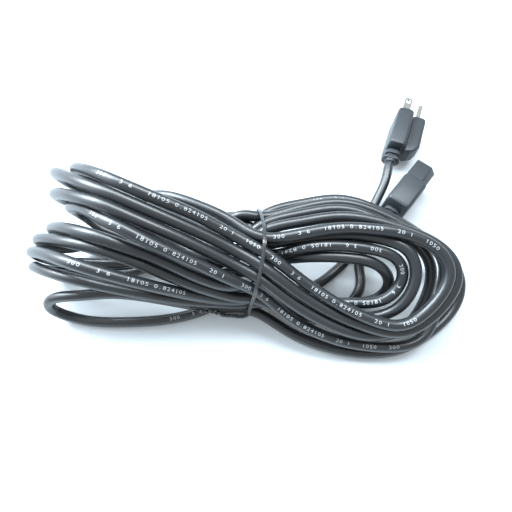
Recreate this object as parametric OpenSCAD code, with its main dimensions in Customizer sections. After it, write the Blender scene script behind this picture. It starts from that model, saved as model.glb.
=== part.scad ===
// Detachable power cord: a three-pin plug, a three-core cord wound into a
// hank with a twist tie round it, and a three-hole appliance connector.
// The cord rests on Z = 0. The plug and the connector lie on their sides
// behind the hank, so their widths stand upright.

/* [Cord] */
// Outside diameter of the round jacket
cord_d = 7; // [6:0.1:7.4]
// Outside diameter of one insulated core
core_d = 2.2; // [1.8:0.1:2.4]
// Diameter of the bundle of copper strands in a core
strands_d = 1.2; // [1:0.1:1.3]

/* [Plug body] */
// Length of the plug's body, from its face to the groove behind it
plug_l = 37; // [34:1:42]
// Height of the block that carries the two blades, across them
blade_block_h = 24.8; // [23:0.2:27]
// Thickness of the block that carries the two blades
blade_block_w = 13; // [11:0.5:15]
// Height of the block that carries the earth pin
earth_block_h = 14; // [12:0.5:17]
// Wall beyond the earth pin
earth_wall = 3.9; // [3:0.1:5]
// Radius of the body's long edges
plug_edge_r = 2.6; // [1.5:0.1:3.5]
// Length of the neck and the lobed end behind the body
plug_neck_l = 11; // [9:0.5:16]
// Width of the lobed end of the strain relief
lobe_w = 14; // [12:0.5:17]
// Height of the lobed end of the strain relief
lobe_h = 9; // [8:0.5:11]
// Length of the lobed end of the strain relief
lobe_l = 4.6; // [4:0.1:5.4]

/* [Plug pins] */
// Width of a flat blade
blade_w = 6.35; // [6:0.05:7]
// Thickness of a flat blade
blade_t = 1.5; // [1.3:0.1:1.8]
// Length of a flat blade in front of the face
blade_l = 18; // [16:0.5:19]
// Distance between the middles of the two blades
blade_pitch = 12.7; // [12:0.1:13.2]
// Diameter of the hole near a blade's tip
blade_hole_d = 4; // [3:0.1:4.4]
// Diameter of the round earth pin
pin_d = 4.8; // [4.6:0.1:5]
// Length of the earth pin in front of the face
pin_l = 21.2; // [19:0.2:23]
// Diameter of the shoulder that holds the earth pin in the moulding
pin_root_d = 5.8; // [5.2:0.1:6.4]
// Distance from the blades' middle line to the earth pin
pin_offset = 11.9; // [11.4:0.1:12.4]
// Thickness of the hard plate that holds the pins
carrier_t = 6; // [4:0.5:7]
// Rim of the hard plate beside a blade
carrier_rim = 1; // [0.8:0.1:1.2]
// Outside diameter of a crimp barrel
barrel_d = 4; // [3.4:0.1:4.4]
// Length of a crimp barrel
barrel_l = 8; // [6:0.5:9]

/* [Connector] */
// Width of the connector's nose
nose_w = 24; // [23:0.1:25]
// Thickness of the connector's nose
nose_h = 16.4; // [16:0.1:17.4]
// Cut across the two corners on the nose's earth side
nose_cut = 4.6; // [3:0.1:5]
// Length of the nose that enters an appliance
nose_l = 17; // [15:0.5:20]
// Width of the grip behind the nose
grip_w = 26.4; // [26:0.2:29]
// Thickness of the grip
grip_h = 18; // [17.6:0.2:20]
// Length of the grip
grip_l = 26; // [24:0.5:32]
// Distance between the line and neutral slots
slot_pitch = 14; // [13.6:0.1:14.4]
// Distance of the earth slot from the line of the other two
slot_offset = 4; // [3.6:0.1:4.4]
// Length of a slot in the nose's face
slot_l = 4.6; // [4.2:0.1:5]
// Width of a slot in the nose's face
slot_t = 2.6; // [2.2:0.1:3]
// Wall of the overmould round the hard insert
insert_wall = 1.6; // [1.3:0.1:2]
// Length of the hard insert
insert_l = 21; // [19:0.5:23]
// Sheet thickness of a spring contact
contact_t = 0.4; // [0.3:0.05:0.5]
// Length of the connector's ribbed strain relief
relief_l = 17; // [14:0.5:24]
// Width of the strain relief where it meets the grip
relief_w = 12; // [10.5:0.5:15]

/* [Hank] */
// Reach of the fan of turn ends to the left of the hank's middle
fan_reach = 147; // [135:1:155]
// Depth of the round end in front of the hank's middle
ring_depth = 105.5; // [98:0.5:112]
// Height of the fan's highest turn
fan_top = 85; // [76:1:92]
// Height of the round end's ridge
ring_top = 60; // [56:1:66]
// Half length of the eye in the hank's round end
eye_rx = 25; // [20:1:28]
// Half width of the eye in the hank's round end
eye_ry = 7; // [5:0.5:8]

/* [Twist tie] */
// Width of the tie's ribbon
tie_w = 3.2; // [2.6:0.1:4]
// Thickness of the tie's ribbon
tie_t = 1.1; // [0.9:0.1:1.3]
// Thickness of the steel wire in the ribbon
wire_t = 0.45; // [0.3:0.05:0.5]
// Length of the twisted ends
twist_l = 22; // [16:1:28]
// Diameter of the twisted ends
twist_d = 3; // [2.4:0.1:3.4]

/* [Hidden] */
$fn = 48;

// Clearance round a piece that the overmould closes on
fit = 0.05;
// Clearance of the tie and the tails in the hank
loose = 0.3;
// Overlap that keeps a cut open
eps = 0.01;
// A length beyond the whole part
beyond = 250;
core_r = core_d / 2;
strands_r = strands_d / 2;
barrel_r = barrel_d / 2;
bore_r = strands_r + fit;
// Sleeve that gathers the strands where they turn toward the crimp barrel
sleeve_r = strands_r + 0.4;
sleeve_l = 1;
cord_r = cord_d / 2;

// Places of the plug's face and the connector's nose, and their headings
// to the right of +Y
plug_at = [127.5, 88, blade_block_h / 2];
plug_heading = 21;
connector_at = [133, 31.5, grip_w / 2];
connector_heading = 40;

// Along the plug, measured back from its face
carrier_front = -3;
carrier_back = carrier_front - carrier_t;
plug_barrel_back = carrier_back - 3 - barrel_l;
plug_core_front = plug_barrel_back - 2;
plug_jacket_end = -plug_l + 3.5;
plug_end = -plug_l - plug_neck_l;
earth_edge = pin_offset + pin_d / 2 + earth_wall;

// Along the connector, measured back from its nose
contact_front = -2;
contact_l = insert_l - 6;
contact_back = contact_front - contact_l;
contact_barrel_back = contact_back - barrel_l;
connector_core_front = contact_barrel_back - 2;
grip_back = -nose_l - grip_l;
connector_jacket_end = grip_back + 2;
connector_end = grip_back - relief_l;
// Ribs of the connector's strain relief
ribs = 4;
rib_pitch = relief_l / ribs;
rib_gap = 1.4;
slot_mid = slot_offset / 2;

// Where the three cores leave the jacket, round its middle
core_ring = core_r * 1.22;
core_gap = 0.8;
core_angles = [60, 300, 180];
plug_core_seats = [
    [0, blade_pitch / 2],
    [0, -blade_pitch / 2],
    [-pin_offset, 0]
];
connector_core_seats = [
    [slot_mid, slot_pitch / 2],
    [slot_mid, -slot_pitch / 2],
    [-slot_mid, 0]
];

// Heading of a piece as a unit vector
function heading(a) = [sin(a), cos(a), 0];
plug_dir = heading(plug_heading);
connector_dir = heading(connector_heading);

// Route of the cord from the plug to the hank, in round numbers. It comes
// down to the floor and goes on under the back of the ring.
plug_tail_route = [
    [105.5, 26.5, 11], [101.5, 19, 8.5], [97, 11.5, 5.8], [93, 4, 4], [89, -3.5, 3.6], [85, -11, 3.6]
];
plug_tail_points = smooth_route(concat(
    [for (s = [plug_jacket_end, plug_jacket_end - 5, plug_end, plug_end - 5]) plug_at + s * plug_dir],
    plug_tail_route
), 2);
// Straight cord behind the connector's strain relief
connector_stub = 8;
connector_tail_points = [
    for (s = [connector_jacket_end, connector_jacket_end - 6, connector_end, connector_end - connector_stub])
        connector_at + s * connector_dir
];

// Plan of the fan of turn ends on the left, clockwise from the tie, for a
// reach of 147, and the stretch that gives it its reach
fan_stretch = fan_reach / 147;
fan_plan = [
    [4, -22], [-14, -14], [-34, -12], [-52, -7], [-70, 1], [-88, 11], [-104, 17], [-118, 17],
    [-130, 13], [-132, 2], [-133, -12], [-137, -25], [-143, -34], [-147, -45], [-144, -55],
    [-132, -61], [-110, -68], [-78, -74], [-40, -77], [-8, -78], [10, -60]
];
fan_points = [for (p = fan_plan) [p.x * fan_stretch, p.y]];
// Highest part of the fan, and the tilts up to it from the front and the back
fan_peak = [-72 * fan_stretch, -24, fan_top];
fan_front_tilt = 22;
fan_back_tilt = 45;
// Where the fan begins to fall to its turn ends, and where to the tie
fan_left = [-86 * fan_stretch, -24, fan_top];
fan_left_tilt = 33;
fan_right = [-55 * fan_stretch, -24, fan_top];
fan_right_tilt = 24;

// Plan of the ring on the right, clockwise from the tie, for a depth of
// 105.5, and the stretch that gives it its depth
ring_stretch = ring_depth / 105.5;
ring_plan = [
    [0, -24], [16, -10], [36, -4], [55, -1], [68, -1.5], [82, -5], [97, -11], [115, -22.5],
    [130, -33.5], [141, -45], [145.5, -60], [142, -76], [128, -90], [110, -101], [90, -105.5],
    [68, -105.5], [45, -100], [22, -92], [0, -79], [-10, -55]
];
ring_points = [for (p = ring_plan) [p.x, p.y * ring_stretch]];
// Lowest front edge of the ring, and the steep tilt up from it
ring_front = [71, -ring_depth, 12];
ring_front_tilt = 62;
// Front slope of the ring above its edge
ring_slope = [71, -94 * ring_stretch, 35];
ring_slope_tilt = 24;
// Right end of the ring, and the tilt up from it
ring_right = [142, -54, 26];
ring_right_tilt = 45;
// Ridge from which the ring falls to its back
ring_ridge = [60, -36, ring_top];
ring_back_tilt = 37;
eye_at = [61, -61];

// The one turn that lies loose on the floor in front of the fan
loop_at = [-84 * fan_stretch, -71.5];
loop_rx = 58 * fan_stretch;
loop_ry = 13.5;

// Where the tie crosses the hank, and its heading to the right of +Y
tie_at = [8, 0, 0];
tie_heading = 3;
// Gap that keeps the hank clear of the tie where the tie turns under it
tie_gap = 0.2;
// The bundle's section under the tie, in distance along the tie's heading
// and height
waist_section = [
    [-84, 0], [-84, 14], [-80, 27], [-75.5, 42], [-66, 50], [-53, 57.5], [-41, 59.5],
    [-29, 53], [-17.5, 42.5], [-12.5, 32], [-14, 26], [-65, 0]
];
waist_l = 36;
// Depth of the wire in the ribbon, and of the twisted ends in its face
wire_in = (tie_t - wire_t) / 2;
twist_sink = 0.6;

// A smooth closed outline through points, with steps points for each
function spline_point(a, b, c, d, t) =
    0.5 * (2 * b + (c - a) * t + (2 * a - 5 * b + 4 * c - d) * t * t
    + (3 * b - a - 3 * c + d) * t * t * t);
function smooth_loop(points, steps) = [
    for (i = [0 : len(points) - 1], j = [0 : steps - 1])
        let (n = len(points))
        spline_point(points[(i + n - 1) % n], points[i], points[(i + 1) % n], points[(i + 2) % n], j / steps)
];
function oval(at, rx, ry, count) = [
    for (i = [0 : count - 1]) at + [rx * cos(360 * i / count), ry * sin(360 * i / count)]
];

// A smooth open route through points, with steps points for each stretch
function end_point(points, i) =
    i < 0 ? 2 * points[0] - points[1]
    : i >= len(points) ? 2 * points[len(points) - 1] - points[len(points) - 2]
    : points[i];
function smooth_route(points, steps) = concat(
    [
        for (i = [0 : len(points) - 2], j = [0 : steps - 1])
            spline_point(
                end_point(points, i - 1), points[i], points[i + 1], end_point(points, i + 2), j / steps
            )
    ],
    [points[len(points) - 1]]
);
function unit(v) = v / norm(v);
function route_end(route) = route[len(route) - 1];
// Way back from the end of a route
function route_back(route) = unit(route[len(route) - 2] - route_end(route));
// Closed outline grown outward by a distance; its points run clockwise
function grown(points, by) = [
    for (i = [0 : len(points) - 1])
        let (
            n = len(points),
            a = unit(points[i] - points[(i + n - 1) % n]),
            b = unit(points[(i + 1) % n] - points[i]),
            out = unit([-a.y, a.x] + [-b.y, b.x])
        )
        points[i] + by / (out * [-b.y, b.x]) * out
];
function route_dir(route, i) = unit(end_point(route, i + 1) - end_point(route, i - 1));
function ring_at(centre, dir, r, sides) =
    let (across = unit(cross(dir, [0, 0, 1])), up = cross(across, dir))
    [for (k = [0 : sides - 1]) centre + r * (cos(360 * k / sides) * across + sin(360 * k / sides) * up)];

// Round tube swept along a route as one closed skin
module swept_tube(route, r, sides = 12) {
    n = len(route);
    skin = [for (i = [0 : n - 1]) each ring_at(route[i], route_dir(route, i), r, sides)];
    sides_faces = [
        for (i = [0 : n - 2], k = [0 : sides - 1])
            let (k2 = (k + 1) % sides)
            [i * sides + k, i * sides + k2, (i + 1) * sides + k2, (i + 1) * sides + k]
    ];
    start_face = [[for (k = [sides - 1 : -1 : 0]) k]];
    end_face = [[for (k = [0 : sides - 1]) (n - 1) * sides + k]];
    polyhedron(points = skin, faces = concat(start_face, sides_faces, end_face));
}

// Straight round rod from one point to another
module rod(p, q, r) {
    v = q - p;
    translate(p) rotate([0, acos(v.z / norm(v)), atan2(v.y, v.x)]) cylinder(h = norm(v), r = r);
}

// Rectangle with round corners, centred
module round_rect(w, h, r) {
    square([w - 2 * r, h], center = true);
    square([w, h - 2 * r], center = true);
    for (x = [-1, 1], y = [-1, 1])
        translate([x * (w / 2 - r), y * (h / 2 - r)]) circle(r = r);
}

// Lifts a flat section in local Y and Z and runs it forward along local X
module along_x(from, to) {
    translate([from, 0, 0]) rotate([90, 0, 90]) linear_extrude(to - from) children();
}

// Sets a piece that is made along local +X in its place
module in_place(at, angle) {
    translate(at) rotate([0, 0, 90 - angle]) children();
}
module on_plug() {
    in_place(plug_at, plug_heading) children();
}
module on_connector() {
    in_place(connector_at, connector_heading) children();
}

// Section of the plug's body across its length
module plug_section() {
    round_rect(blade_block_w, blade_block_h, plug_edge_r);
    translate([-earth_edge / 2, 0]) round_rect(earth_edge, earth_block_h, plug_edge_r);
}

// Cut that rounds the rear corner of the earth block
module plug_rear_corner() {
    rear_r = 5.5;
    difference() {
        translate([-plug_l - 1, -earth_edge - 1]) square([rear_r + 1, rear_r + 1]);
        translate([-plug_l + rear_r, -earth_edge + rear_r]) circle(r = rear_r);
    }
}

// Where a core leaves the jacket
function core_start(jacket_end, i) =
    [jacket_end + core_gap, core_ring * cos(core_angles[i]), core_ring * sin(core_angles[i])];
function core_finish(front, seats, i) = [front, seats[i].x, seats[i].y];

// Bare copper, from the crimp barrel to where the jacket ends
module strands(jacket_end, front, barrel_back, seats, i) {
    start = core_start(jacket_end, i);
    bend = core_finish(front, seats, i);
    color("sandybrown") {
        rod(start, bend + sleeve_l / 3 * unit(bend - start), strands_r);
        translate([bend.x - sleeve_l / 10, bend.y, bend.z]) rotate([0, 90, 0])
            cylinder(h = sleeve_l, r = sleeve_r);
        rod(bend, [barrel_back + barrel_l * 0.7, bend.y, bend.z], strands_r);
    }
}
// Insulation of one core
module core(jacket_end, front, seats, i, tint) {
    bend = core_finish(front, seats, i);
    start = core_start(jacket_end, i);
    way = unit(bend - start);
    color(tint) difference() {
        rod(start, bend - core_gap * way, core_r);
        rod(start - way, bend + way, strands_r + fit);
    }
}
// Room in an overmould for the copper, the core and the barrel in front
module core_room(jacket_end, front, barrel_front, seats, i) {
    start = core_start(jacket_end, i);
    bend = core_finish(front, seats, i);
    way = unit(bend - start);
    rod(start - way, bend + core_gap * way, core_r + fit);
    translate([front - 0.6, bend.y, bend.z]) rotate([0, 90, 0])
        cylinder(h = barrel_front - front + 0.6, r = barrel_r + fit);
}

// --- Plug ---------------------------------------------------------------

module carrier_section(grow) {
    square([blade_w + 2 * carrier_rim + 2 * grow, blade_pitch + 6 * carrier_rim + 2 * grow], center = true);
    translate([-(pin_offset + 3 * carrier_rim) / 2, 0])
        square([pin_offset + 3 * carrier_rim + 2 * grow, pin_d + 3 * carrier_rim + 2 * grow], center = true);
}

module plug_overmould() {
    color("#26282b") on_plug() difference() {
        union() {
            difference() {
                along_x(-plug_l, 0) plug_section();
                translate([0, 0, -blade_block_h]) linear_extrude(2 * blade_block_h) plug_rear_corner();
            }
            along_x(-plug_l - plug_neck_l + 4, -plug_l + 1) round_rect(blade_block_w - 3.5, lobe_h - 0.2, 3);
            along_x(-plug_l - plug_neck_l / 2, -plug_l - 1.6) round_rect(blade_block_w - 1, lobe_h + 3, 3.5);
            along_x(plug_end, plug_end + lobe_l) round_rect(lobe_w, lobe_h, 3.4);
        }
        along_x(plug_end - 1, plug_jacket_end + fit) circle(r = cord_r + fit);
        along_x(carrier_back, carrier_front) carrier_section(fit);
        for (z = [-1, 1]) translate([carrier_front - 1, -blade_w / 2, z * blade_pitch / 2 - blade_t / 2])
            cube([-carrier_front + 2, blade_w, blade_t]);
        along_x(carrier_front - 1, 1) translate([-pin_offset, 0]) circle(r = pin_root_d / 2 + fit);
        for (i = [0 : 2]) core_room(plug_jacket_end, plug_core_front, carrier_back + eps, plug_core_seats, i);
    }
}

module pin_carrier() {
    color("#d8d4c4") on_plug() difference() {
        along_x(carrier_back, carrier_front) carrier_section(0);
        for (z = [-1, 1]) translate([carrier_back - 1, -blade_w / 2, z * blade_pitch / 2 - blade_t / 2])
            cube([carrier_t + 2, blade_w, blade_t]);
        along_x(carrier_back - 1, carrier_front + 1) translate([-pin_offset, 0])
            circle(r = pin_root_d / 2 + fit);
    }
}

// Flat blade with a holed tip in front and a crimp barrel behind
module blade(z) {
    tip_r = 2.4;
    color("#cfcfcb") on_plug() difference() {
        union() {
            translate([0, 0, z - blade_t / 2]) linear_extrude(blade_t) {
                translate([carrier_back, -blade_w / 2]) square([blade_l - tip_r - carrier_back, blade_w]);
                translate([blade_l - tip_r, -blade_w / 2 + tip_r]) square([tip_r, blade_w - 2 * tip_r]);
                for (y = [-1, 1]) translate([blade_l - tip_r, y * (blade_w / 2 - tip_r)]) circle(r = tip_r);
            }
            translate([plug_barrel_back, 0, z]) rotate([0, 90, 0])
                cylinder(h = carrier_back - plug_barrel_back, r = barrel_r);
        }
        translate([blade_l - tip_r - 1.8, 0, z - blade_t]) cylinder(h = 2 * blade_t, d = blade_hole_d);
        translate([plug_barrel_back - 1, 0, z]) rotate([0, 90, 0]) cylinder(h = barrel_l + 1, r = bore_r);
    }
}

// Round pin with a rounded tip, a shoulder that stands just out of the
// face and a crimp barrel behind
module earth_pin() {
    tip_l = 2.4;
    shoulder_out = 0.4;
    color("#cfcfcb") on_plug() translate([0, -pin_offset, 0]) rotate([0, 90, 0]) rotate_extrude() polygon([
        [bore_r, plug_barrel_back], [barrel_r, plug_barrel_back], [barrel_r, carrier_back],
        [pin_root_d / 2, carrier_back], [pin_root_d / 2, shoulder_out], [pin_d / 2, shoulder_out],
        [pin_d / 2, pin_l - tip_l], [pin_d / 2 - 0.5, pin_l - tip_l / 2],
        [pin_d / 2 - 1.3, pin_l - 0.3], [pin_d / 2 - 1.9, pin_l], [0, pin_l],
        [0, plug_barrel_back + barrel_l], [bore_r, plug_barrel_back + barrel_l]
    ]);
}

module plug_core(i, tint) {
    core(plug_jacket_end, plug_core_front, plug_core_seats, i, tint);
}
module plug_strands(i) {
    strands(plug_jacket_end, plug_core_front, plug_barrel_back, plug_core_seats, i);
}

// --- Connector ----------------------------------------------------------

// Section of the nose, with its two earth-side corners cut off
module nose_section(inset) {
    h = nose_h / 2 - inset;
    w = nose_w / 2 - inset;
    cut = nose_cut - inset * 0.59;
    polygon([[h, -w], [h, w], [-h + cut, w], [-h, w - cut], [-h, -w + cut], [-h + cut, -w]]);
}

module slot_places() {
    for (i = [0 : 2]) translate([connector_core_seats[i].x, connector_core_seats[i].y]) children();
}

module connector_overmould() {
    color("#26282b") on_connector() difference() {
        union() {
            along_x(-nose_l - 1, 0) nose_section(0);
            along_x(grip_back, -nose_l) round_rect(grip_h, grip_w, 3.2);
            for (k = [0 : ribs - 1])
                along_x(grip_back - rib_pitch * (k + 1) + rib_gap, grip_back - rib_pitch * k + eps)
                    round_rect(relief_w - k, relief_w - 1 - k, 3.4);
            along_x(connector_end, grip_back) circle(r = cord_r + 0.9);
        }
        along_x(-insert_l, 1) nose_section(insert_wall);
        along_x(connector_end - 1, connector_jacket_end + fit) circle(r = cord_r + fit);
        for (i = [0 : 2])
            core_room(connector_jacket_end, connector_core_front, -insert_l + eps, connector_core_seats, i);
    }
}

module connector_insert() {
    color("#1d1e20") on_connector() difference() {
        along_x(-insert_l, 0) nose_section(insert_wall + fit);
        along_x(-1 + contact_front, 1) slot_places() square([slot_l, slot_t], center = true);
        along_x(contact_back, contact_front) slot_places()
            square([slot_l + 2 * contact_t + 2 * fit, slot_t + 2 * contact_t + 2 * fit], center = true);
        along_x(-insert_l - 1, contact_back + eps) slot_places() circle(r = barrel_r + fit);
    }
}

// Folded spring contact: a three-sided channel with a crimp barrel behind
module contact(i) {
    seat = connector_core_seats[i];
    color("goldenrod") on_connector() translate([0, seat.x, seat.y]) difference() {
        union() {
            along_x(contact_back, contact_front)
                square([slot_l + 2 * contact_t, slot_t + 2 * contact_t], center = true);
            along_x(contact_barrel_back, contact_back + eps) circle(r = barrel_r);
        }
        along_x(contact_back + 1, contact_front + 1) square([slot_l, slot_t], center = true);
        along_x(contact_back + 1, contact_front + 1)
            translate([0, slot_t / 2]) square([slot_l / 3, 2 * contact_t + 2], center = true);
        along_x(contact_barrel_back - 1, contact_barrel_back + barrel_l * 0.8) circle(r = bore_r);
    }
}

module connector_core(i, tint) {
    core(connector_jacket_end, connector_core_front, connector_core_seats, i, tint);
}
module connector_strands(i) {
    strands(connector_jacket_end, connector_core_front, contact_barrel_back, connector_core_seats, i);
}

// --- Cord ---------------------------------------------------------------

// Everything above a slope that rises from a point toward a heading
module above_slope(p, angle, tilt) {
    translate(p) rotate([tilt, 0, -angle]) translate([-beyond, -beyond, 0])
        cube([2 * beyond, 2 * beyond, beyond]);
}

// Runs a section of the waist along the bundle
module along_waist(length) {
    translate(tie_at) rotate([0, 0, -tie_heading]) translate([-length / 2, 0, 0]) rotate([90, 0, 90])
        linear_extrude(length) children();
}

// Room in the hank where a straight piece comes in and ends at a point
module room(end, dir, w, h, reach) {
    translate([end.x, end.y, 0]) rotate([0, 0, atan2(dir.y, dir.x)])
        translate([0, -w / 2, -1]) cube([reach, w, end.z + h / 2 + 1]);
}

module fan_body() {
    difference() {
        linear_extrude(fan_top) polygon(smooth_loop(fan_points, 3));
        above_slope(fan_peak, 0, fan_front_tilt);
        above_slope(fan_peak, 180, fan_back_tilt);
        above_slope(fan_left, 90, fan_left_tilt);
        above_slope(fan_right, 270, fan_right_tilt);
    }
}

module ring_body() {
    difference() {
        linear_extrude(ring_top) polygon(smooth_loop(ring_points, 3));
        above_slope(ring_front, 0, ring_front_tilt);
        above_slope(ring_slope, 0, ring_slope_tilt);
        above_slope(ring_ridge, 180, ring_back_tilt);
        above_slope(ring_right, 270, ring_right_tilt);
    }
}

module loose_loop() {
    linear_extrude(cord_d) difference() {
        polygon(oval(loop_at, loop_rx, loop_ry, 56));
        polygon(oval(loop_at, loop_rx - cord_d, loop_ry - cord_d, 48));
    }
}

// Outer shape of the wound turns: a fan of ends on the left, a round end
// with an eye on the right, and a loose turn in front of the fan
module cord_hank() {
    tail_w = cord_d + 2 * loose;
    relief_room = relief_w + 2 * loose;
    relief_room_l = 60;
    tail_room_l = 40;
    color("#2b2d30") difference() {
        union() {
            difference() {
                union() {
                    fan_body();
                    ring_body();
                }
                along_waist(tie_w + 2 * loose) translate([-beyond, -1]) square([2 * beyond, fan_top + 2]);
            }
            along_waist(waist_l) polygon(waist_section);
            loose_loop();
        }
        translate([0, 0, -1]) linear_extrude(ring_top + 2) polygon(oval(eye_at, eye_rx, eye_ry, 40));
        along_waist(tie_w + 2 * loose) difference() {
            polygon(tie_outline(tie_t + loose));
            polygon(tie_outline(-tie_gap));
        }
        room(route_end(plug_tail_points), route_back(plug_tail_points), tail_w, tail_w, tail_room_l);
        room(route_end(connector_tail_points), connector_dir, tail_w, tail_w, tail_room_l);
        room(
            connector_at + (connector_end - 1) * connector_dir, connector_dir,
            relief_room, relief_room, relief_room_l
        );
    }
}

module plug_tail() {
    color("#2b2d30") swept_tube(plug_tail_points, cord_r);
}
module connector_tail() {
    color("#2b2d30") swept_tube(connector_tail_points, cord_r);
}

// --- Twist tie ----------------------------------------------------------

// Band round the waist between two heights over the hank
module tie_band(inner, outer, width) {
    along_waist(width) difference() {
        polygon(tie_outline(outer));
        polygon(tie_outline(inner));
    }
}
function tie_outline(over) = [
    for (p = grown(waist_section, loose + over)) [p.x, max(p.y, loose + tie_t - over)]
];

module tie_ribbon() {
    front_y = waist_section[0].x - loose - tie_t;
    color("#1b1c1e") difference() {
        union() {
            tie_band(0, tie_t, tie_w);
            translate(tie_at) rotate([0, 0, -tie_heading])
                translate([tie_w / 2, front_y - twist_d / 2 + twist_sink, twist_d / 2 + loose])
                rotate([0, -90, 0]) cylinder(h = twist_l, d = twist_d);
        }
        tie_band(wire_in - fit, wire_in + wire_t + fit, wire_t + 2 * fit);
    }
}
module tie_wire() {
    color("silver") tie_band(wire_in, wire_in + wire_t, wire_t);
}

plug_overmould();
pin_carrier();
blade(blade_pitch / 2);  // line_blade
blade(-blade_pitch / 2);  // neutral_blade
earth_pin();
on_plug() plug_core(0, "black");  // plug_line_core
on_plug() plug_core(1, "white");  // plug_neutral_core
on_plug() plug_core(2, "green");  // plug_earth_core
on_plug() plug_strands(0);  // plug_line_strands
on_plug() plug_strands(1);  // plug_neutral_strands
on_plug() plug_strands(2);  // plug_earth_strands
connector_overmould();
connector_insert();
contact(0);  // line_contact
contact(1);  // neutral_contact
contact(2);  // earth_contact
on_connector() connector_core(0, "black");  // connector_line_core
on_connector() connector_core(1, "white");  // connector_neutral_core
on_connector() connector_core(2, "green");  // connector_earth_core
on_connector() connector_strands(0);  // connector_line_strands
on_connector() connector_strands(1);  // connector_neutral_strands
on_connector() connector_strands(2);  // connector_earth_strands
cord_hank();
plug_tail();
connector_tail();
tie_ribbon();
tie_wire();
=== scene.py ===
import math
import bpy
import bmesh
import numpy as np
from mathutils import Matrix, Vector


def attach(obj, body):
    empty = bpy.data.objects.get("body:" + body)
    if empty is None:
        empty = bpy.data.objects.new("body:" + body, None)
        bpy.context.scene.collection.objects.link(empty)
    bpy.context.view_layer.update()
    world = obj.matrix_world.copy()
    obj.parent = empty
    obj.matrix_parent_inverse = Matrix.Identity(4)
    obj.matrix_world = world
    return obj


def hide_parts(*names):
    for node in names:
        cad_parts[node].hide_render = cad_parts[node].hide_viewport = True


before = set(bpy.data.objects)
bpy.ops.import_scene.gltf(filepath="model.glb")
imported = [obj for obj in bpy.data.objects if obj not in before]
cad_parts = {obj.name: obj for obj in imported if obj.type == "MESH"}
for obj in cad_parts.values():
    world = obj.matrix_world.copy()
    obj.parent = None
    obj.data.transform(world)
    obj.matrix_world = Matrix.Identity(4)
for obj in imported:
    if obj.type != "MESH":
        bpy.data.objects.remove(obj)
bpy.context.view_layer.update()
scene = bpy.context.scene
scene.view_settings.view_transform = "Standard"

# --- Camera -------------------------------------------------------------------
# It stands in front of the hank, about 0.27 m away, and looks down at it,
# 67 degrees below the horizon.
CAMERA_AT = (0.004, -0.134, 0.240)
CAMERA_TILT = 23
camera_data = bpy.data.cameras.new("camera")
camera_data.sensor_width = 36
camera_data.lens = 24.61
camera_data.clip_start = 0.01
camera = bpy.data.objects.new("camera", camera_data)
camera.location = CAMERA_AT
camera.rotation_euler = (math.radians(CAMERA_TILT), 0, 0)
scene.collection.objects.link(camera)
scene.camera = camera

# --- Cord ---------------------------------------------------------------------
# One round three-core cord in a soft black jacket, from the plug to the
# connector. It is wound by hand into eight turns round an eye on the right,
# each with a fold on the left.
MM = 0.001
CORD_D = 7
CORD_R = CORD_D / 2
CORD_STEP = 4
CORD_FINE = 2
CORD_SIDES = 20
PLUG_AT = Vector((127.5, 88, 12.4))
PLUG_WAY = Vector((math.sin(math.radians(21)), math.cos(math.radians(21)), 0))
PLUG_END = -48
CONNECTOR_AT = Vector((133, 31.5, 13.2))
CONNECTOR_WAY = Vector((math.sin(math.radians(40)), math.cos(math.radians(40)), 0))
CONNECTOR_END = -60
# From the plug down to the floor, under the ring and out to the front, in
# millimetres in the CAD frame
LEAD_IN = [
    (105.5, 26.5, 11), (101.5, 19, 8.5), (97, 11.5, 5.8), (93, 4, 4), (89, -3.5, 3.6), (85, -11, 3.6),
    (81, -18.5, 3.5), (72, -35, 3.5), (58, -48, 3.5), (44, -58, 3.5), (26, -61, 3.8), (8, -63, 4.1),
    (-12, -68.5, 3.9),
]
# The turn that lies loose in front of the fan goes out along the floor, up
# in a slanted round bend and back over the front of the fan
LOOSE_OUT = [(-34, -75.5, 3.5), (-56, -80.5, 3.5), (-84, -82.5, 3.5), (-112, -81.5, 3.5)]
BEND_LOW = Vector((-122.5, -78.5, 3.9))
BEND_HIGH = Vector((-122.5, -71, 25))
BEND_WAY = Vector((-11, 0, 0))
BEND_ANGLES = (-75, -45, -15, 15, 45, 75)
# The rest lies where the camera shows it: each place is a point of the
# camera's picture, across and down in pixels, and a height in millimetres
PICTURE_W = 512
LOOSE_BACK = [
    (82, 296, 26.8), (105, 293.6, 26.8), (130, 294.6, 24), (165, 299.5, 18.5), (190, 304, 14),
    (210, 306, 11), (230, 307, 8),
]
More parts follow.
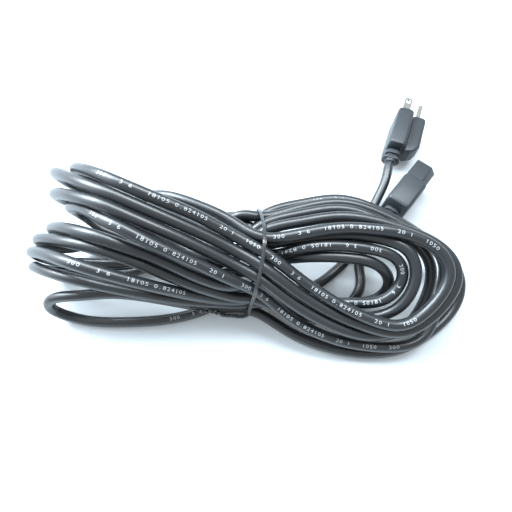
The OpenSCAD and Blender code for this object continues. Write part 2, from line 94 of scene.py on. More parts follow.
# The eight runs of the ring at nine stations, clockwise from the front of
# the tie
STATIONS = [
    [
        (252, 303, 10.5), (254, 299, 17.5), (256, 295, 24.5), (266, 254, 53),
        (264, 266, 50), (262, 280, 44), (258, 291, 35), (250, 309, 4),
    ],
    [
        (300, 300, 12), (300, 303, 19), (300, 318, 14), (300, 280.5, 43),
        (300, 293, 39), (300, 309.5, 33), (300, 324.5, 23), (300, 337, 4),
    ],
    [
        (345, 303, 9), (350, 303, 23), (350, 318, 14), (359, 315.5, 34),
        (359, 324.5, 28), (359, 334, 22), (359, 345.5, 13), (359, 353.5, 3.5),
    ],
    [
        (378, 299, 12), (385, 302, 28), (394, 312, 26), (405, 326, 31),
        (410, 332, 25), (405, 328, 15), (420, 340, 11), (405, 347, 3.5),
    ],
    [
        (390, 281, 30), (405, 277, 38), (416, 279, 42), (452, 275, 46),
        (459, 280, 40), (431, 284, 26), (440, 291, 18), (457, 303, 8),
    ],
    [
        (378, 264, 42), (397, 257, 46), (409, 247.5, 50), (436, 247, 52),
        (446, 250, 46), (428, 256, 36), (443, 258, 28), (456, 268, 20),
    ],
    [
        (350, 256, 44), (350, 246, 48), (350, 237, 48), (350, 227, 57),
        (350, 216, 52), (350, 210, 45), (350, 204, 39), (352, 201, 32),
    ],
    [
        (300, 256.5, 42), (300, 248, 47), (300, 241, 44), (300, 233.5, 54),
        (300, 223, 50), (300, 214, 44), (300, 208, 38), (300, 204.5, 32),
    ],
    [
        (267, 262, 28), (266, 254, 36), (265, 247, 42), (261, 240, 51),
        (262, 231, 49), (262, 224, 44), (262, 219, 38), (262, 214, 32),
    ],
]
# Eight folds of the fan on the left, each from its lower run at the tie,
# out to the fold and back over it
FOLDS = [
    [
        (247, 231, 33), (228, 240.5, 32), (200, 229, 28), (150, 207, 22), (115, 190, 24),
        (90, 177, 32), (75, 169, 54), (90, 171.5, 76), (115, 180.5, 82), (150, 196.5, 78),
        (200, 217.2, 66), (240, 240.3, 55),
    ],
    [
        (240, 225.5, 51), (221, 215.8, 52), (201, 206.5, 52), (181, 200, 51), (162, 195, 47),
        (137, 199, 38), (112, 222, 20), (80, 248, 10), (54, 249, 18), (37, 240.5, 38),
        (54, 239, 57), (85, 245.5, 64), (150, 266, 55), (200, 287.5, 38), (240, 297, 24),
    ],
    [
        (235, 251, 33), (200, 240, 26), (150, 217, 20), (100, 196, 22), (70, 184, 30),
        (55, 173.5, 51), (70, 178.5, 72), (100, 190.5, 79), (150, 210.5, 74), (200, 233, 62),
        (240, 252.8, 51),
    ],
    [
        (248, 246.5, 40), (230, 260, 30), (200, 256, 24), (150, 231, 16), (100, 212, 18),
        (70, 203, 27), (55, 194.5, 49), (70, 195, 71), (100, 203.5, 78), (150, 223.5, 72),
        (200, 247, 59), (240, 268.5, 47),
    ],
    [
        (241, 248, 33), (221, 262, 25), (197, 268, 22), (150, 250, 17), (110, 230, 16),
        (84, 216, 25), (70, 207, 46), (85, 209.5, 68), (118, 226, 76), (150, 243, 71),
        (200, 265, 57), (240, 284.5, 44),
    ],
    [
        (238, 220.5, 37), (190, 232, 22), (130, 262, 9), (80, 264, 7), (47, 260, 16),
        (31, 252, 37), (48, 255.5, 58), (80, 266, 66), (150, 285, 51), (200, 296.5, 31),
        (240, 301.5, 17),
    ],
    [
        (235, 214, 34), (190, 240, 14), (140, 268, 5), (80, 272, 3.5), (48, 270, 9),
        (33, 266, 26), (50, 272, 43), (85, 281, 46), (150, 296, 32), (200, 303.5, 18),
        (240, 306, 10),
    ],
    [
        (250, 273, 26), (230, 271.3, 21), (200, 273, 15.5), (150, 262, 11), (95, 246, 11),
        (65, 236, 20), (51, 228, 42), (66, 228, 63), (100, 238, 70), (150, 257, 60),
        (200, 280, 44), (240, 290, 30),
    ],
]
# Which run of the ring comes before each fold
ORDER = [7, 3, 2, 4, 5, 6, 1, 0]
# From the last fold across the eye to the connector
LEAD_OUT = [
    (250, 288, 18), (270, 291, 9), (295, 307, 4), (318, 315, 3.5),
    (340, 312, 3.5), (356, 297, 3.5), (362, 281, 3.5), (357, 264, 3.5),
]
# The places are then eased until the line bends as a stiff cord does, in so
# many rounds. A point keeps clear of all that lie further along than this
# many diameters, with this room from them and from the floor.
EASE_ROUNDS = 240
EASE_NEAR = 2.6
EASE_ROOM = 0.4
EASE_FLOOR = 0.05
# How strongly each round makes it smooth, pulls it short and holds its places
EASE_SMOOTH = 0.5
EASE_PULL = 0.05
EASE_HOLD = 0.02


def whole(place):
    """The place in whole millimetres."""
    return tuple(round(v) for v in place)


def seen(across, down, height):
    """The place at a height that the camera shows at a point of its picture."""
    pixel = camera_data.sensor_width / camera_data.lens / PICTURE_W
    u, v = (across - PICTURE_W / 2) * pixel, (down - PICTURE_W / 2) * pixel
    tilt = math.radians(CAMERA_TILT)
    x, y, z = (value / MM for value in CAMERA_AT)
    depth = (z - height) / (math.cos(tilt) + v * math.sin(tilt))
    return whole((x + depth * u, y + depth * (math.sin(tilt) - v * math.cos(tilt)), height))


def evenly(line, step):
    """The same line with its points a step apart."""
    run = np.r_[0, np.cumsum(np.linalg.norm(np.diff(line, axis=0), axis=1))]
    marks = np.linspace(0, run[-1], int(round(run[-1] / step)) + 1)
    return np.stack([np.interp(marks, run, line[:, k]) for k in range(3)], axis=1)


def along(places, step):
    """Points a step apart on a smooth line through the places."""
    p = np.array(places, float)
    ends = np.vstack([2 * p[0] - p[1], p, 2 * p[-1] - p[-2]])
    line = []
    for a, b, c, d in zip(ends, ends[1:], ends[2:], ends[3:]):
        t1 = np.linalg.norm(b - a) ** 0.5
        t2 = t1 + np.linalg.norm(c - b) ** 0.5
        t3 = t2 + np.linalg.norm(d - c) ** 0.5
        t = np.linspace(t1, t2, max(2, int(np.linalg.norm(c - b))), endpoint=False)[:, None]
        ab = ((t1 - t) * a + t * b) / t1
        bc = ((t2 - t) * b + (t - t1) * c) / (t2 - t1)
        cd = ((t3 - t) * c + (t - t2) * d) / (t3 - t2)
        abc = ((t2 - t) * ab + t * bc) / t2
        bcd = ((t3 - t) * bc + (t - t1) * cd) / (t3 - t1)
        line.append(((t2 - t) * abc + (t - t1) * bcd) / (t2 - t1))
    return evenly(np.vstack(line + [p[-1:]]), step)


def eased(line, step, rounds):
    """The line as a stiff cord: smooth, clear of itself and of the floor, near its first places."""
    room = CORD_D + EASE_ROOM
    goal = line.copy()
    count = len(line)
    index = np.arange(count)
    apart = np.abs(index[:, None] - index[None]) > int(EASE_NEAR * CORD_D / step)
    for turn in range(rounds):
        if turn % 8 == 0:
            offset = line[:, None] - line[None]
            close = ((offset**2).sum(-1) < (room * 1.9) ** 2) & apart
            i, j = np.where(np.triu(close))
        moved = line.copy()
        fair = (-line[:-4] + 4 * line[1:-3] + 4 * line[3:-1] - line[4:]) / 6
        moved[2:-2] += EASE_SMOOTH * (fair - line[2:-2])
        moved[1:-1] += EASE_PULL * ((moved[:-2] + moved[2:]) / 2 - moved[1:-1])
        moved += EASE_HOLD * (goal - moved)
        for _ in range(2):
            offset = moved[i] - moved[j]
            distance = np.sqrt((offset**2).sum(1)) + 1e-9
            short = np.maximum(room - distance, 0)
            push = (0.5 * short / distance)[:, None] * offset
            total = np.zeros_like(moved)
            hits = np.zeros(count)
            np.add.at(total, i, push)
            np.add.at(total, j, -push)
            np.add.at(hits, i, short > 0)
            np.add.at(hits, j, short > 0)
            moved += total / np.maximum(hits, 1)[:, None] ** 0.5
        moved[:, 2] = np.maximum(moved[:, 2], CORD_R + EASE_FLOOR)
        moved[:3], moved[-3:] = goal[:3], goal[-3:]
        line = moved
    return line


route = [PLUG_AT + s * PLUG_WAY for s in (PLUG_END, PLUG_END - 5)] + LEAD_IN + LOOSE_OUT
for angle in BEND_ANGLES:
    a = math.radians(angle)
    bend = (BEND_LOW + BEND_HIGH) / 2 + math.sin(a) * (BEND_HIGH - BEND_LOW) / 2 + math.cos(a) * BEND_WAY
    route.append(whole(bend))
route += [seen(*place) for place in LOOSE_BACK]
for run, fold in zip(ORDER, FOLDS):
    route += [seen(*station[run]) for station in STATIONS] + [seen(*place) for place in fold]
route += [seen(*place) for place in LEAD_OUT]
route += [CONNECTOR_AT + (CONNECTOR_END - 14) * CONNECTOR_WAY - Vector((0, 0, 1.5))]
route += [CONNECTOR_AT + CONNECTOR_END * CONNECTOR_WAY]
cord_line = eased(along([tuple(p) for p in route], CORD_STEP), CORD_STEP, EASE_ROUNDS)
cord_line = along(cord_line, CORD_FINE)
cord_run = np.r_[0, np.cumsum(np.linalg.norm(np.diff(cord_line, axis=0), axis=1))]


def across(line):
    """Two directions across the line at each point, without twist."""
    ahead = np.gradient(line, axis=0)
    ahead /= np.linalg.norm(ahead, axis=1)[:, None]
    up = np.zeros_like(line)
    up[0] = np.cross(ahead[0], np.cross([0, 0, 1], ahead[0]))
    up[0] /= np.linalg.norm(up[0])
    for k in range(1, len(line)):
        v = up[k - 1] - ahead[k] * (up[k - 1] @ ahead[k])
        up[k] = v / np.linalg.norm(v)
    return up, np.cross(ahead, up)


def tube(name, line, radius, sides):
    """Mesh of a round tube along the line, with flat ends."""
    up, side = across(line)
    turns = np.arange(sides) * 2 * math.pi / sides
    rings = line[:, None] + radius * (
        np.cos(turns)[None, :, None] * up[:, None] + np.sin(turns)[None, :, None] * side[:, None]
    )
    last = (len(line) - 1) * sides
    faces = []
    for base in range(0, last, sides):
        for s in range(sides):
            t = (s + 1) % sides
            faces.append((base + s, base + t, base + sides + t, base + sides + s))
    faces += [tuple(range(sides - 1, -1, -1)), tuple(range(last, last + sides))]
    mesh = bpy.data.meshes.new(name)
    mesh.from_pydata((rings.reshape(-1, 3) * MM).tolist(), [], faces)
    for polygon in mesh.polygons:
        polygon.use_smooth = polygon.loop_total == 4
    return mesh


def material(name):
    """A new node material, its tree and its main shader."""
    made = bpy.data.materials.new(name)
    made.use_nodes = True
    return made, made.node_tree, made.node_tree.nodes["Principled BSDF"]


def link(tree, source, socket):
    """Joins two sockets."""
    tree.links.new(source, socket)


def add(tree, kind, **values):
    """A node of a kind with some of its properties or input values set."""
    node = tree.nodes.new(kind)
    for name, value in values.items():
        if hasattr(node, name):
            setattr(node, name, value)
        else:
            node.inputs[name.replace("_", " ")].default_value = value
    return node


def surface_group():
    """Shared effect: mottled colour, uneven gloss and fine relief over one set of coordinates."""
    tree = bpy.data.node_groups.new("surface", "ShaderNodeTree")
    face = tree.interface
    face.new_socket("Vector", in_out="INPUT", socket_type="NodeSocketVector")
    face.new_socket("Color", in_out="INPUT", socket_type="NodeSocketColor")
    for name, value in (("Gloss", 0.4), ("Uneven", 0.1), ("Scale", 400.0), ("Relief", 0.1)):
        face.new_socket(name, in_out="INPUT", socket_type="NodeSocketFloat").default_value = value
    face.new_socket("Color", in_out="OUTPUT", socket_type="NodeSocketColor")
    face.new_socket("Roughness", in_out="OUTPUT", socket_type="NodeSocketFloat")
    face.new_socket("Normal", in_out="OUTPUT", socket_type="NodeSocketVector")
    start, end = add(tree, "NodeGroupInput"), add(tree, "NodeGroupOutput")
    fine = add(tree, "ShaderNodeTexNoise", Detail=3.0)
    broad = add(tree, "ShaderNodeTexNoise", Scale=60.0, Detail=2.0)
    link(tree, start.outputs["Vector"], fine.inputs["Vector"])
    link(tree, start.outputs["Scale"], fine.inputs["Scale"])
    link(tree, start.outputs["Vector"], broad.inputs["Vector"])
    tone = add(tree, "ShaderNodeHueSaturation")
    spread = add(tree, "ShaderNodeMapRange", To_Min=0.75, To_Max=1.3)
    link(tree, broad.outputs["Fac"], spread.inputs["Value"])
    link(tree, spread.outputs["Result"], tone.inputs["Value"])
    link(tree, start.outputs["Color"], tone.inputs["Color"])
    middle = add(tree, "ShaderNodeMath", operation="SUBTRACT")
    middle.inputs[1].default_value = 0.5
    link(tree, fine.outputs["Fac"], middle.inputs[0])
    rough = add(tree, "ShaderNodeMath", operation="MULTIPLY_ADD")
    link(tree, middle.outputs[0], rough.inputs[0])
    link(tree, start.outputs["Uneven"], rough.inputs[1])
    link(tree, start.outputs["Gloss"], rough.inputs[2])
    bump = add(tree, "ShaderNodeBump", Distance=0.0002)
    link(tree, fine.outputs["Fac"], bump.inputs["Height"])
    link(tree, start.outputs["Relief"], bump.inputs["Strength"])
    link(tree, tone.outputs["Color"], end.inputs["Color"])
    link(tree, rough.outputs[0], end.inputs["Roughness"])
    link(tree, bump.outputs["Normal"], end.inputs["Normal"])
    return tree


surface = surface_group()


def coated(name, colour, gloss, uneven, scale, relief, metal=0.0, specular=0.5):
    """A material made of the shared surface over object coordinates."""
    made, tree, shader = material(name)
    coords = add(tree, "ShaderNodeTexCoord")
    skin = add(tree, "ShaderNodeGroup", node_tree=surface)
    link(tree, coords.outputs["Object"], skin.inputs["Vector"])
    skin.inputs["Color"].default_value = (*colour, 1)
    for socket, value in zip(("Gloss", "Uneven", "Scale", "Relief"), (gloss, uneven, scale, relief)):
        skin.inputs[socket].default_value = value
    link(tree, skin.outputs["Color"], shader.inputs["Base Color"])
    link(tree, skin.outputs["Roughness"], shader.inputs["Roughness"])
    link(tree, skin.outputs["Normal"], shader.inputs["Normal"])
    shader.inputs["Metallic"].default_value = metal
    shader.inputs["Specular IOR Level"].default_value = specular
    return made


def piece(name, mesh, finish):
    """An object of the mesh that rides on the part, in its finish."""
    thing = bpy.data.objects.new(name, mesh)
    scene.collection.objects.link(thing)
    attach(thing, "root")
    mesh.materials.append(finish)
    return thing


jacket = coated("jacket", (0.011, 0.0145, 0.018), 0.38, 0.05, 300, 0.0, specular=1.0)
cord = piece("cord", tube("cord", cord_line, CORD_R, CORD_SIDES), jacket)
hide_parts("cord_hank", "plug_tail", "connector_tail")

# --- Print on the jacket --------------------------------------------------------
# Plain numerals in white ink, printed along the jacket of the cord. Each one
# is a thin skin that follows the round of the jacket.
PRINT_TEXT = "300   3 6   18105 0.824105   20 1   1050   300   0 01   "
PRINT_H = 2.2
PRINT_PITCH = 2.5
PRINT_WIDTH = 1.3
PRINT_THINNER = -0.02
PRINT_STRIPS = 6
PRINT_SKIN = 0.03
# A numeral stands this share of its font size high
FONT_HEIGHT = 0.7
# The print looks up and to the front, toward this place
PRINT_FACES = np.array([4, -134, 240])
# Start and length along the cord, lean of the print toward the back, way of reading
PRINT_RUNS = [
    (997, 100, 18, 1), (1104, 104, 2, 1), (1250, 102, 14, -1),
    (3386, 84, 0, 1), (3479, 118, -4, 1), (4037, 70, 8, 1),
    (4201, 58, 0, -1), (4275, 62, 8, 1), (195, 30, 0, -1), (720, 24, 10, -1),
]
glyphs = {}


def glyph(letter):
    """Flat places and faces of one letter, cut into strips so that it can be bent round the cord."""
    if letter not in glyphs:
        curve = bpy.data.curves.new("letter", "FONT")
        curve.body = letter
        curve.size = PRINT_H / FONT_HEIGHT
        curve.align_x = "CENTER"
        curve.offset = PRINT_THINNER
        curve.resolution_u = 2
        thing = bpy.data.objects.new("letter", curve)
        scene.collection.objects.link(thing)
        bpy.context.view_layer.update()
        shape = bmesh.new()
        shape.from_mesh(thing.to_mesh())
        thing.to_mesh_clear()
        for k in range(1, PRINT_STRIPS):
            everything = shape.verts[:] + shape.edges[:] + shape.faces[:]
            height = k * PRINT_H / PRINT_STRIPS
            bmesh.ops.bisect_plane(shape, geom=everything, plane_co=(0, height, 0), plane_no=(0, 1, 0))
        shape.verts.index_update()
        glyphs[letter] = (
            np.array([(v.co.x * PRINT_WIDTH, v.co.y) for v in shape.verts]),
            [[v.index for v in f.verts] for f in shape.faces],
        )
        shape.free()
        bpy.data.objects.remove(thing)
        bpy.data.curves.remove(curve)
    return glyphs[letter]


def on_cord(at, lean):
    """Point on the cord's middle line, its way ahead and the side on which the print shows."""
    back, here, there = (
        np.array([np.interp(place, cord_run, cord_line[:, k]) for k in range(3)])
        for place in (at - 1.5, at, at + 1.5)
    )
    ahead = (there - back) / np.linalg.norm(there - back)
    out = PRINT_FACES - here
    out -= ahead * (out @ ahead)
    out /= np.linalg.norm(out)
    rear = np.cross(out, ahead)
    rear *= math.copysign(1, rear[1])
    return here, ahead, math.cos(math.radians(lean)) * out + math.sin(math.radians(lean)) * rear


points, faces = [], []
for start, length, lean, way in PRINT_RUNS:
    for k in range(int(length / PRINT_PITCH)):
        letter = PRINT_TEXT[k % len(PRINT_TEXT)]
        if letter == " ":
            continue
        flat, cells = glyph(letter)
        base = len(points)
        for x, y in flat:
            at = start + k * PRINT_PITCH + x if way > 0 else start + length - k * PRINT_PITCH - x
            here, ahead, out = on_cord(at, lean)
            side = np.cross(out, ahead) * way
            turn = (y - PRINT_H / 2) / CORD_R
            radius = CORD_R + PRINT_SKIN
            points.append(tuple((here + radius * (math.cos(turn) * out + math.sin(turn) * side)) * MM))
        faces += [[base + i for i in cell] for cell in cells]
print_mesh = bpy.data.meshes.new("print")
print_mesh.from_pydata(points, [], faces)
ink = coated("ink", (0.62, 0.65, 0.68), 0.45, 0.2, 2500, 0.05)
piece("print", print_mesh, ink)

# --- Twist tie: the band ----------------------------------------------------------
# A flat plastic ribbon with an iron wire in its middle, drawn tight by hand
# round all the turns. It stands as a ridged film on their common outline.
TIE_X = 6.5
TIE_HEADING = math.radians(6)
TIE_W = 2.1
TIE_T = 0.55
TIE_RIDGE = 0.35
TIE_GAP = 0.35
TIE_STEP = 1.5
# The band goes round the cord that lies this near to its plane, this much
# beside it, and no higher than this
TIE_REACH = 4.5
TIE_ASIDE = 2
TIE_TOP = 70
# It bows to the right over the top, from its front, along its depth, above its rise
TIE_BULGE = 7.5
TIE_FRONT = -90
TIE_DEPTH = 78
TIE_RISE = 40
FLOOR_GAP = 0.02


def hull(cloud):
    """Convex outline of flat points, clockwise."""
    cloud = sorted(map(tuple, cloud))
    halves = []
    for way in (cloud, cloud[::-1]):
        half = []
        for p in way:
            while len(half) > 1 and (
                (half[-1][0] - half[-2][0]) * (p[1] - half[-2][1])
                >= (half[-1][1] - half[-2][1]) * (p[0] - half[-2][0])
            ):
                half.pop()
            half.append(p)
        halves += half[:-1]
    return halves


tie_ahead = np.array([math.sin(TIE_HEADING), math.cos(TIE_HEADING), 0])
tie_across = np.array([math.cos(TIE_HEADING), -math.sin(TIE_HEADING), 0])
tie_base = np.array([TIE_X, 0, 0])
level = (cord_line - tie_base) @ tie_across
cloud = []
for p in cord_line[(np.abs(level - TIE_ASIDE) < TIE_REACH) & (cord_line[:, 2] < TIE_TOP)]:
    for turn in np.arange(16) * math.pi / 8:
        cloud.append((
            round((p - tie_base) @ tie_ahead + (CORD_R + TIE_GAP) * math.cos(turn), 2),
            round(max(p[2] + (CORD_R + TIE_GAP) * math.sin(turn), TIE_T / 2 + 0.05), 2),
        ))
outline = hull(cloud)
outline = np.array([(v, z, 0) for v, z in outline + outline[:1]])
outline = evenly(outline, TIE_STEP)[:-1]
for _ in range(6):
    outline = (np.roll(outline, 1, 0) + 2 * outline + np.roll(outline, -1, 0)) / 4
band_line = []
for v, z, _ in outline:
    share = min(max((v - TIE_FRONT) / TIE_DEPTH, 0), 1)
    bulge = TIE_BULGE * math.sin(math.pi * share) * min(z / TIE_RISE, 1)
    band_line.append(tie_base + v * tie_ahead + bulge * tie_across + np.array([0, 0, z]))
band_line = np.array(band_line)


def skinned(shape, rings, caps=True):
    """Extrudes a ring of places through all the rings, closes its ends, and gives its caps."""
    ring = first = [shape.verts.new(place) for place in rings[0]]
    edges = [shape.edges.new(pair) for pair in zip(ring, ring[1:] + ring[:1])]
    for places in rings[1:]:
        made = bmesh.ops.extrude_edge_only(shape, edges=edges)["geom"]
        fresh = {v for v in made if isinstance(v, bmesh.types.BMVert)}
        ring = [next(e.other_vert(v) for e in v.link_edges if e.other_vert(v) in fresh) for v in ring]
        edges = [shape.edges.get(pair) for pair in zip(ring, ring[1:] + ring[:1])]
        for vertex, place in zip(ring, places):
            vertex.co = place
    return [shape.faces.new(first[::-1]), shape.faces.new(ring)] if caps else []


def finished(shape, name, finish, sharp):
    """The shape in metres as a smooth piece, with its edges kept above an angle."""
    bmesh.ops.recalc_face_normals(shape, faces=shape.faces)
    bmesh.ops.scale(shape, vec=(MM, MM, MM), verts=shape.verts)
    mesh = bpy.data.meshes.new(name)
    shape.to_mesh(mesh)
    shape.free()
    for polygon in mesh.polygons:
        polygon.use_smooth = True
    mesh.set_sharp_from_angle(angle=math.radians(sharp))
    return piece(name, mesh, finish)


def ribbon(name, line, outs, width, thick, closed):
    """A flat film swept along a line with a wire ridge down its middle."""
    half, low = width / 2, thick / 2
    profile = [
        (-half, -low), (half, -low), (half, low * 0.7), (half * 0.5, low * 0.6), (half * 0.26, low * 0.9),
        (half * 0.14, low + TIE_RIDGE), (-half * 0.14, low + TIE_RIDGE), (-half * 0.26, low * 0.9),
        (-half * 0.5, low * 0.6), (-half, low * 0.7),
    ]
    ahead = (np.roll(line, -1, 0) - np.roll(line, 1, 0)) if closed else np.gradient(line, axis=0)
    ahead /= np.linalg.norm(ahead, axis=1)[:, None]
    outs = outs - ahead * (outs * ahead).sum(1)[:, None]
    outs /= np.linalg.norm(outs, axis=1)[:, None]
    sides = np.cross(ahead, outs)
    rings = [[here + a * side + b * out for a, b in profile] for here, side, out in zip(line, sides, outs)]
    # Under the turns the ridge is pressed flat on the floor
    rings = [[(x, y, max(z, FLOOR_GAP)) for x, y, z in ring] for ring in rings]
    shape = bmesh.new()
    skinned(shape, rings + rings[:1] if closed else rings, caps=not closed)
    if closed:
        bmesh.ops.remove_doubles(shape, verts=shape.verts, dist=1e-4)
    return finished(shape, name, tie_film, 50)


tie_film = coated("tie_film", (0.045, 0.05, 0.055), 0.26, 0.12, 1500, 0.05, specular=0.9)
band = ribbon("tie_band", band_line, band_line - band_line.mean(0), TIE_W, TIE_T, True)
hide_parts("tie_ribbon", "tie_wire")

# --- Twist tie: the ends ------------------------------------------------------------
# The two ends of the ribbon, twisted round each other in front of the hank
# to lock it, and then parted over the loose turn.
TWIST_ROUTE = [(-2.1, -78.6, 6.5), (-6.1, -79.8, 8), (-11.3, -79.6, 9.5), (-17.3, -79.3, 10.5)]
TWIST_PITCH = 6
TWIST_L = 20
TWIST_R = 0.75
TWIST_STEP = 0.5
END_W = 2.2
END_T = 0.5
ENDS = [
    [(-21.2, -78.5, 11.5), (-25.7, -77.6, 13), (-30.8, -77.4, 14.5), (-35.2, -77.1, 16),
     (-38.7, -75.9, 18.8), (-40.7, -74.6, 20.8)],
    [(-21.1, -78.2, 13), (-25.4, -77.1, 15.5), (-29.2, -76.2, 17.2), (-32.2, -75.7, 19),
     (-34.7, -76, 19.5), (-37.1, -77.4, 18)],
]
for number, end in enumerate(ENDS):
    axis = along(TWIST_ROUTE + end, TWIST_STEP)
    run = np.arange(len(axis)) * TWIST_STEP
    radius = TWIST_R * np.clip((TWIST_L + 3 - run) / 6, 0, 1)
    turn = run / TWIST_PITCH * 2 * math.pi + math.pi * number
    up, side = across(axis)
    out = np.cos(turn)[:, None] * up + np.sin(turn)[:, None] * side
    ribbon("tie_end", axis + out * radius[:, None], out, END_W, END_T, False)

# --- Plug -----------------------------------------------------------------------------
# One soft moulding that lies on its side: a tall block for the two blades, a
# lower one for the earth pin, and a stepped, lobed strain relief down to the
# cord, all cast round the pins in one shot.

# Each part has its sections from the face back, as distance, width, height,
# place across and place up. Then come its corner radius, the steps in a
# corner and the round of its ends.
PLUG_PARTS = [
    ([(0, 12.4, 24.2, 0, 0), (-3, 13, 24.8, 0, 0), (-34, 13, 24.8, 0, 0), (-37, 12, 23.6, 0, 0)],
     2.6, 5, 0.7),
    ([(0, 11.6, 13.4, -12.1, 0), (-2.5, 12.2, 14, -12.1, 0), (-30, 12.2, 14, -12.1, 0),
      (-34.5, 10, 13.6, -11, 0), (-37, 6, 12.8, -9, 0)], 2.6, 5, 0.7),
    ([(-36.5, 9.4, 9, 0, 0), (-39.5, 9.4, 9, 0, 0)], 3, 5, 0),
    ([(-38.6, 12, 12, 0, 0), (-42.2, 12, 12, 0, 0)], 3.8, 6, 0.6),
    ([(-42, 9.6, 9, 0, 0), (-43.8, 9.6, 9, 0, 0)], 3, 5, 0),
    ([(-43.4, 13.6, 9.4, 0, 0), (-46.4, 13.6, 9.4, 0, 0)], 3.8, 6, 0.7),
    ([(-46, 9.2, 8.6, 0, 0), (-48.4, 7.5, 7.5, 0, 0)], 3.7, 8, 0.2),
]


def rounded(section, corner, steps):
    """Places round a section with round corners, at most nearly a full round."""
    x, wide, high, y0, z0 = section
    r = min(corner, wide / 2 - 0.01, high / 2 - 0.01)
    ring = []
    for cy, cz, first in ((1, 1, 0), (-1, 1, 90), (-1, -1, 180), (1, -1, 270)):
        for k in range(steps + 1):
            a = math.radians(first + 90 * k / steps)
            ring.append((
                x, y0 + cy * (wide / 2 - r) + r * math.cos(a), z0 + cz * (high / 2 - r) + r * math.sin(a)
            ))
    return ring


def softened(shape, edges, offset):
    """Rounds the edges."""
    bmesh.ops.bevel(
        shape, geom=edges, offset=offset, offset_type="OFFSET", segments=3, profile=0.5,
        affect="EDGES", material=-1,
    )


def headed(shape, at, way):
    """Turns a shape that was made along +X to its heading and puts it in its place."""
    heading = Matrix((
        (way.x, -way.y, 0, at.x), (way.y, way.x, 0, at.y), (0, 0, 1, at.z), (0, 0, 0, 1)
    ))
    bmesh.ops.transform(shape, matrix=heading, verts=shape.verts)


def moulded(name, parts, at, way):
    """One moulding of several parts that run into each other."""
    shape = bmesh.new()
    for sections, corner, steps, soft in parts:
        caps = skinned(shape, [rounded(section, corner, steps) for section in sections])
        if soft:
            softened(shape, [e for cap in caps for e in cap.edges], soft)
    headed(shape, at, way)
    return finished(shape, name, moulding, 40)


def dress(finish, *nodes):
    """Gives the CAD nodes, which keep their own shapes, a finish."""
    for name in nodes:
        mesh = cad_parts[name].data
        mesh.materials.clear()
        mesh.materials.append(finish)


moulding = coated("moulding", (0.037, 0.044, 0.051), 0.42, 0.12, 1400, 0.12, specular=0.5)
plug = moulded("plug_moulding", PLUG_PARTS, PLUG_AT, PLUG_WAY)
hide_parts("plug_overmould")

# --- Plug's pins and cores ----------------------------------------------------------
# Two nickel-plated brass blades and a round earth pin, held in a hard carrier,
# with the ends of the three cores crimped to them inside the moulding.
plated = coated("plated", (0.8, 0.79, 0.76), 0.22, 0.2, 1200, 0.1, metal=1.0)
carrier = coated("carrier", (0.7, 0.68, 0.6), 0.4, 0.1, 700, 0.2)
black_core = coated("black_core", (0.02, 0.02, 0.02), 0.3, 0.1, 900, 0.1)
white_core = coated("white_core", (0.8, 0.8, 0.78), 0.3, 0.1, 900, 0.1)
green_core = coated("green_core", (0.02, 0.2, 0.04), 0.3, 0.1, 900, 0.1)
copper = coated("copper", (0.7, 0.35, 0.2), 0.3, 0.3, 3000, 0.5, metal=1.0)
dress(plated, "line_blade", "neutral_blade", "earth_pin")
dress(carrier, "pin_carrier")
dress(black_core, "plug_line_core")
dress(white_core, "plug_neutral_core")
dress(green_core, "plug_earth_core")
dress(copper, "plug_line_strands", "plug_neutral_strands", "plug_earth_strands")

# --- Connector's grip -----------------------------------------------------------------
# A slab of the same soft moulding on its side, with a ribbed strain relief
# that narrows down to the cord. Its parts are given as the plug's are.
RIBS = 4
RIB_PITCH = 4
RIB_HIGH = 12
RIB_LESS = 0.9
CONNECTOR_PARTS = [
    ([(-16, 17, 25.4, 0, 0), (-18.5, 18, 26.4, 0, 0), (-40, 18, 26.4, 0, 0), (-43, 16.4, 24.6, 0, 0)],
     3, 5, 0.7),
    ([(-42.6, 8.8, 8.8, 0, 0), (-58, 8.4, 8.4, 0, 0), (-60.2, 7.4, 7.4, 0, 0)], 4.3, 8, 0.2),
]
for k in range(RIBS):
    high = RIB_HIGH - RIB_LESS * k
    front, back = -43.6 - RIB_PITCH * k, -46.2 - RIB_PITCH * k
    CONNECTOR_PARTS.append(
        ([(front, high, high - 0.6, 0, 0), (back, high - 0.4, high - 1, 0, 0)], 3.8, 6, 0.4)
    )
connector_moulding = moulded("connector_moulding", CONNECTOR_PARTS, CONNECTOR_AT, CONNECTOR_WAY)
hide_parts("connector_overmould")

# --- Connector's nose -----------------------------------------------------------------
# The wall of the nose round the hard insert, moulded with the grip. Its two
# corners on the earth side are cut, so that it goes in one way only.
NOSE_L = 17.5
NOSE_W = 24
NOSE_H = 16.4
NOSE_CUT = 4.6
NOSE_WALL = 1.6
NOSE_DEPTH = 4
NOSE_SOFT = 0.6


def nose_section(x, inset):
    """Six corners of the nose at a place along it, or of its opening inside the wall."""
    h, w = NOSE_H / 2 - inset, NOSE_W / 2 - inset
    cut = NOSE_CUT - inset * 0.59
    corners = [(h, -w), (h, w), (-h + cut, w), (-h, w - cut), (-h, -w + cut), (-h + cut, -w)]
    return [(x, y, z) for y, z in corners]


shape = bmesh.new()
skinned(shape, [
    nose_section(-NOSE_L, 0), nose_section(0, 0), nose_section(0, NOSE_WALL),
    nose_section(-NOSE_DEPTH, NOSE_WALL),
], caps=False)
softened(shape, [e for e in shape.edges if len(e.link_faces) == 2], NOSE_SOFT)
headed(shape, CONNECTOR_AT, CONNECTOR_WAY)
connector_nose = finished(shape, "connector_nose", moulding, 40)

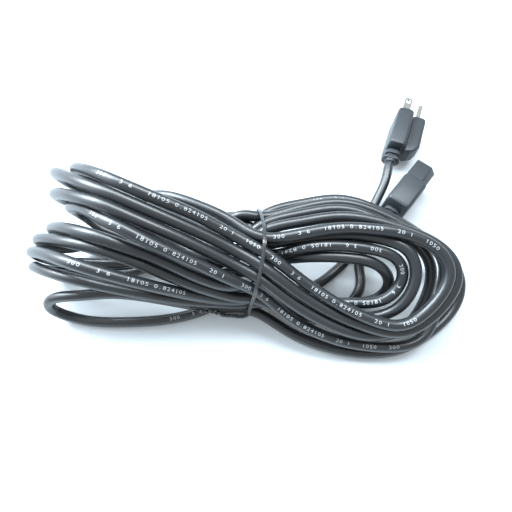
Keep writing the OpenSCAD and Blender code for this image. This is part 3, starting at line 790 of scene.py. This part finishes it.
# --- Connector's insert and contacts ------------------------------------------------
# A hard black insert with three slots, a brass contact behind each slot, and
# the ends of the three cores crimped to the contacts.
insert = coated("insert", (0.012, 0.0125, 0.014), 0.5, 0.1, 900, 0.3)
contact = coated("contact", (0.7, 0.5, 0.25), 0.3, 0.2, 1200, 0.1, metal=1.0)
dress(insert, "connector_insert")
dress(contact, "line_contact", "neutral_contact", "earth_contact")
dress(black_core, "connector_line_core")
dress(white_core, "connector_neutral_core")
dress(green_core, "connector_earth_core")
dress(copper, "connector_line_strands", "connector_neutral_strands", "connector_earth_strands")

# --- Floor ----------------------------------------------------------------------------
# A wide pale studio table. It glows a little to the camera and in reflections,
# so that it is white there and still takes the soft shadow of the cord.
FLOOR_HALF = 1.5
FLOOR_GLOW = 0.1
floor_mesh = bpy.data.meshes.new("floor")
shape = bmesh.new()
bmesh.ops.create_grid(shape, x_segments=1, y_segments=1, size=FLOOR_HALF)
shape.to_mesh(floor_mesh)
shape.free()
floor = bpy.data.objects.new("floor", floor_mesh)
scene.collection.objects.link(floor)
floor_finish, tree, shader = material("floor")
shader.inputs["Base Color"].default_value = (0.72, 0.78, 0.82, 1)
shader.inputs["Roughness"].default_value = 0.6
shader.inputs["Emission Color"].default_value = (0.93, 0.98, 1, 1)
rays = add(tree, "ShaderNodeLightPath")
seen = rays.outputs["Is Camera Ray"]
for kind in ("Is Glossy Ray", "Is Transmission Ray"):
    either = add(tree, "ShaderNodeMath", operation="MAXIMUM")
    link(tree, seen, either.inputs[0])
    link(tree, rays.outputs[kind], either.inputs[1])
    seen = either.outputs[0]
glow = add(tree, "ShaderNodeMath", operation="MULTIPLY")
glow.inputs[1].default_value = FLOOR_GLOW
link(tree, seen, glow.inputs[0])
link(tree, glow.outputs[0], shader.inputs["Emission Strength"])
floor_mesh.materials.append(floor_finish)

# --- Lamps ----------------------------------------------------------------------------
# Three soft lamps of cool daylight: a key from the back left, a long one from
# above and a weak one beside the fan, in an even pale room.
MIDDLE = (0, -0.03, 0.02)
FAN = (-0.11, -0.03, 0.04)


def softbox(name, place, aim, size, power, colour):
    """A rectangular lamp that faces a point."""
    lamp = bpy.data.lights.new(name, "AREA")
    lamp.shape = "RECTANGLE"
    lamp.size, lamp.size_y = size
    lamp.energy = power
    lamp.color = colour
    thing = bpy.data.objects.new(name, lamp)
    thing.location = place
    thing.rotation_mode = "QUATERNION"
    thing.rotation_quaternion = (Vector(aim) - Vector(place)).to_track_quat("-Z", "Y")
    scene.collection.objects.link(thing)


softbox("key", (-0.7, 0.5, 0.7), MIDDLE, (0.7, 0.5), 25, (0.8, 0.91, 1))
softbox("top", (0.1, 0.35, 0.9), MIDDLE, (0.9, 0.25), 13, (0.86, 0.94, 1))
softbox("left", (-0.42, 0.0, 0.2), FAN, (0.34, 0.24), 0.7, (0.82, 0.91, 1))
world = bpy.data.worlds.new("studio")
scene.world = world
world.use_nodes = True
world.node_tree.nodes["Background"].inputs["Color"].default_value = (0.9, 0.96, 1, 1)
world.node_tree.nodes["Background"].inputs["Strength"].default_value = 0.6
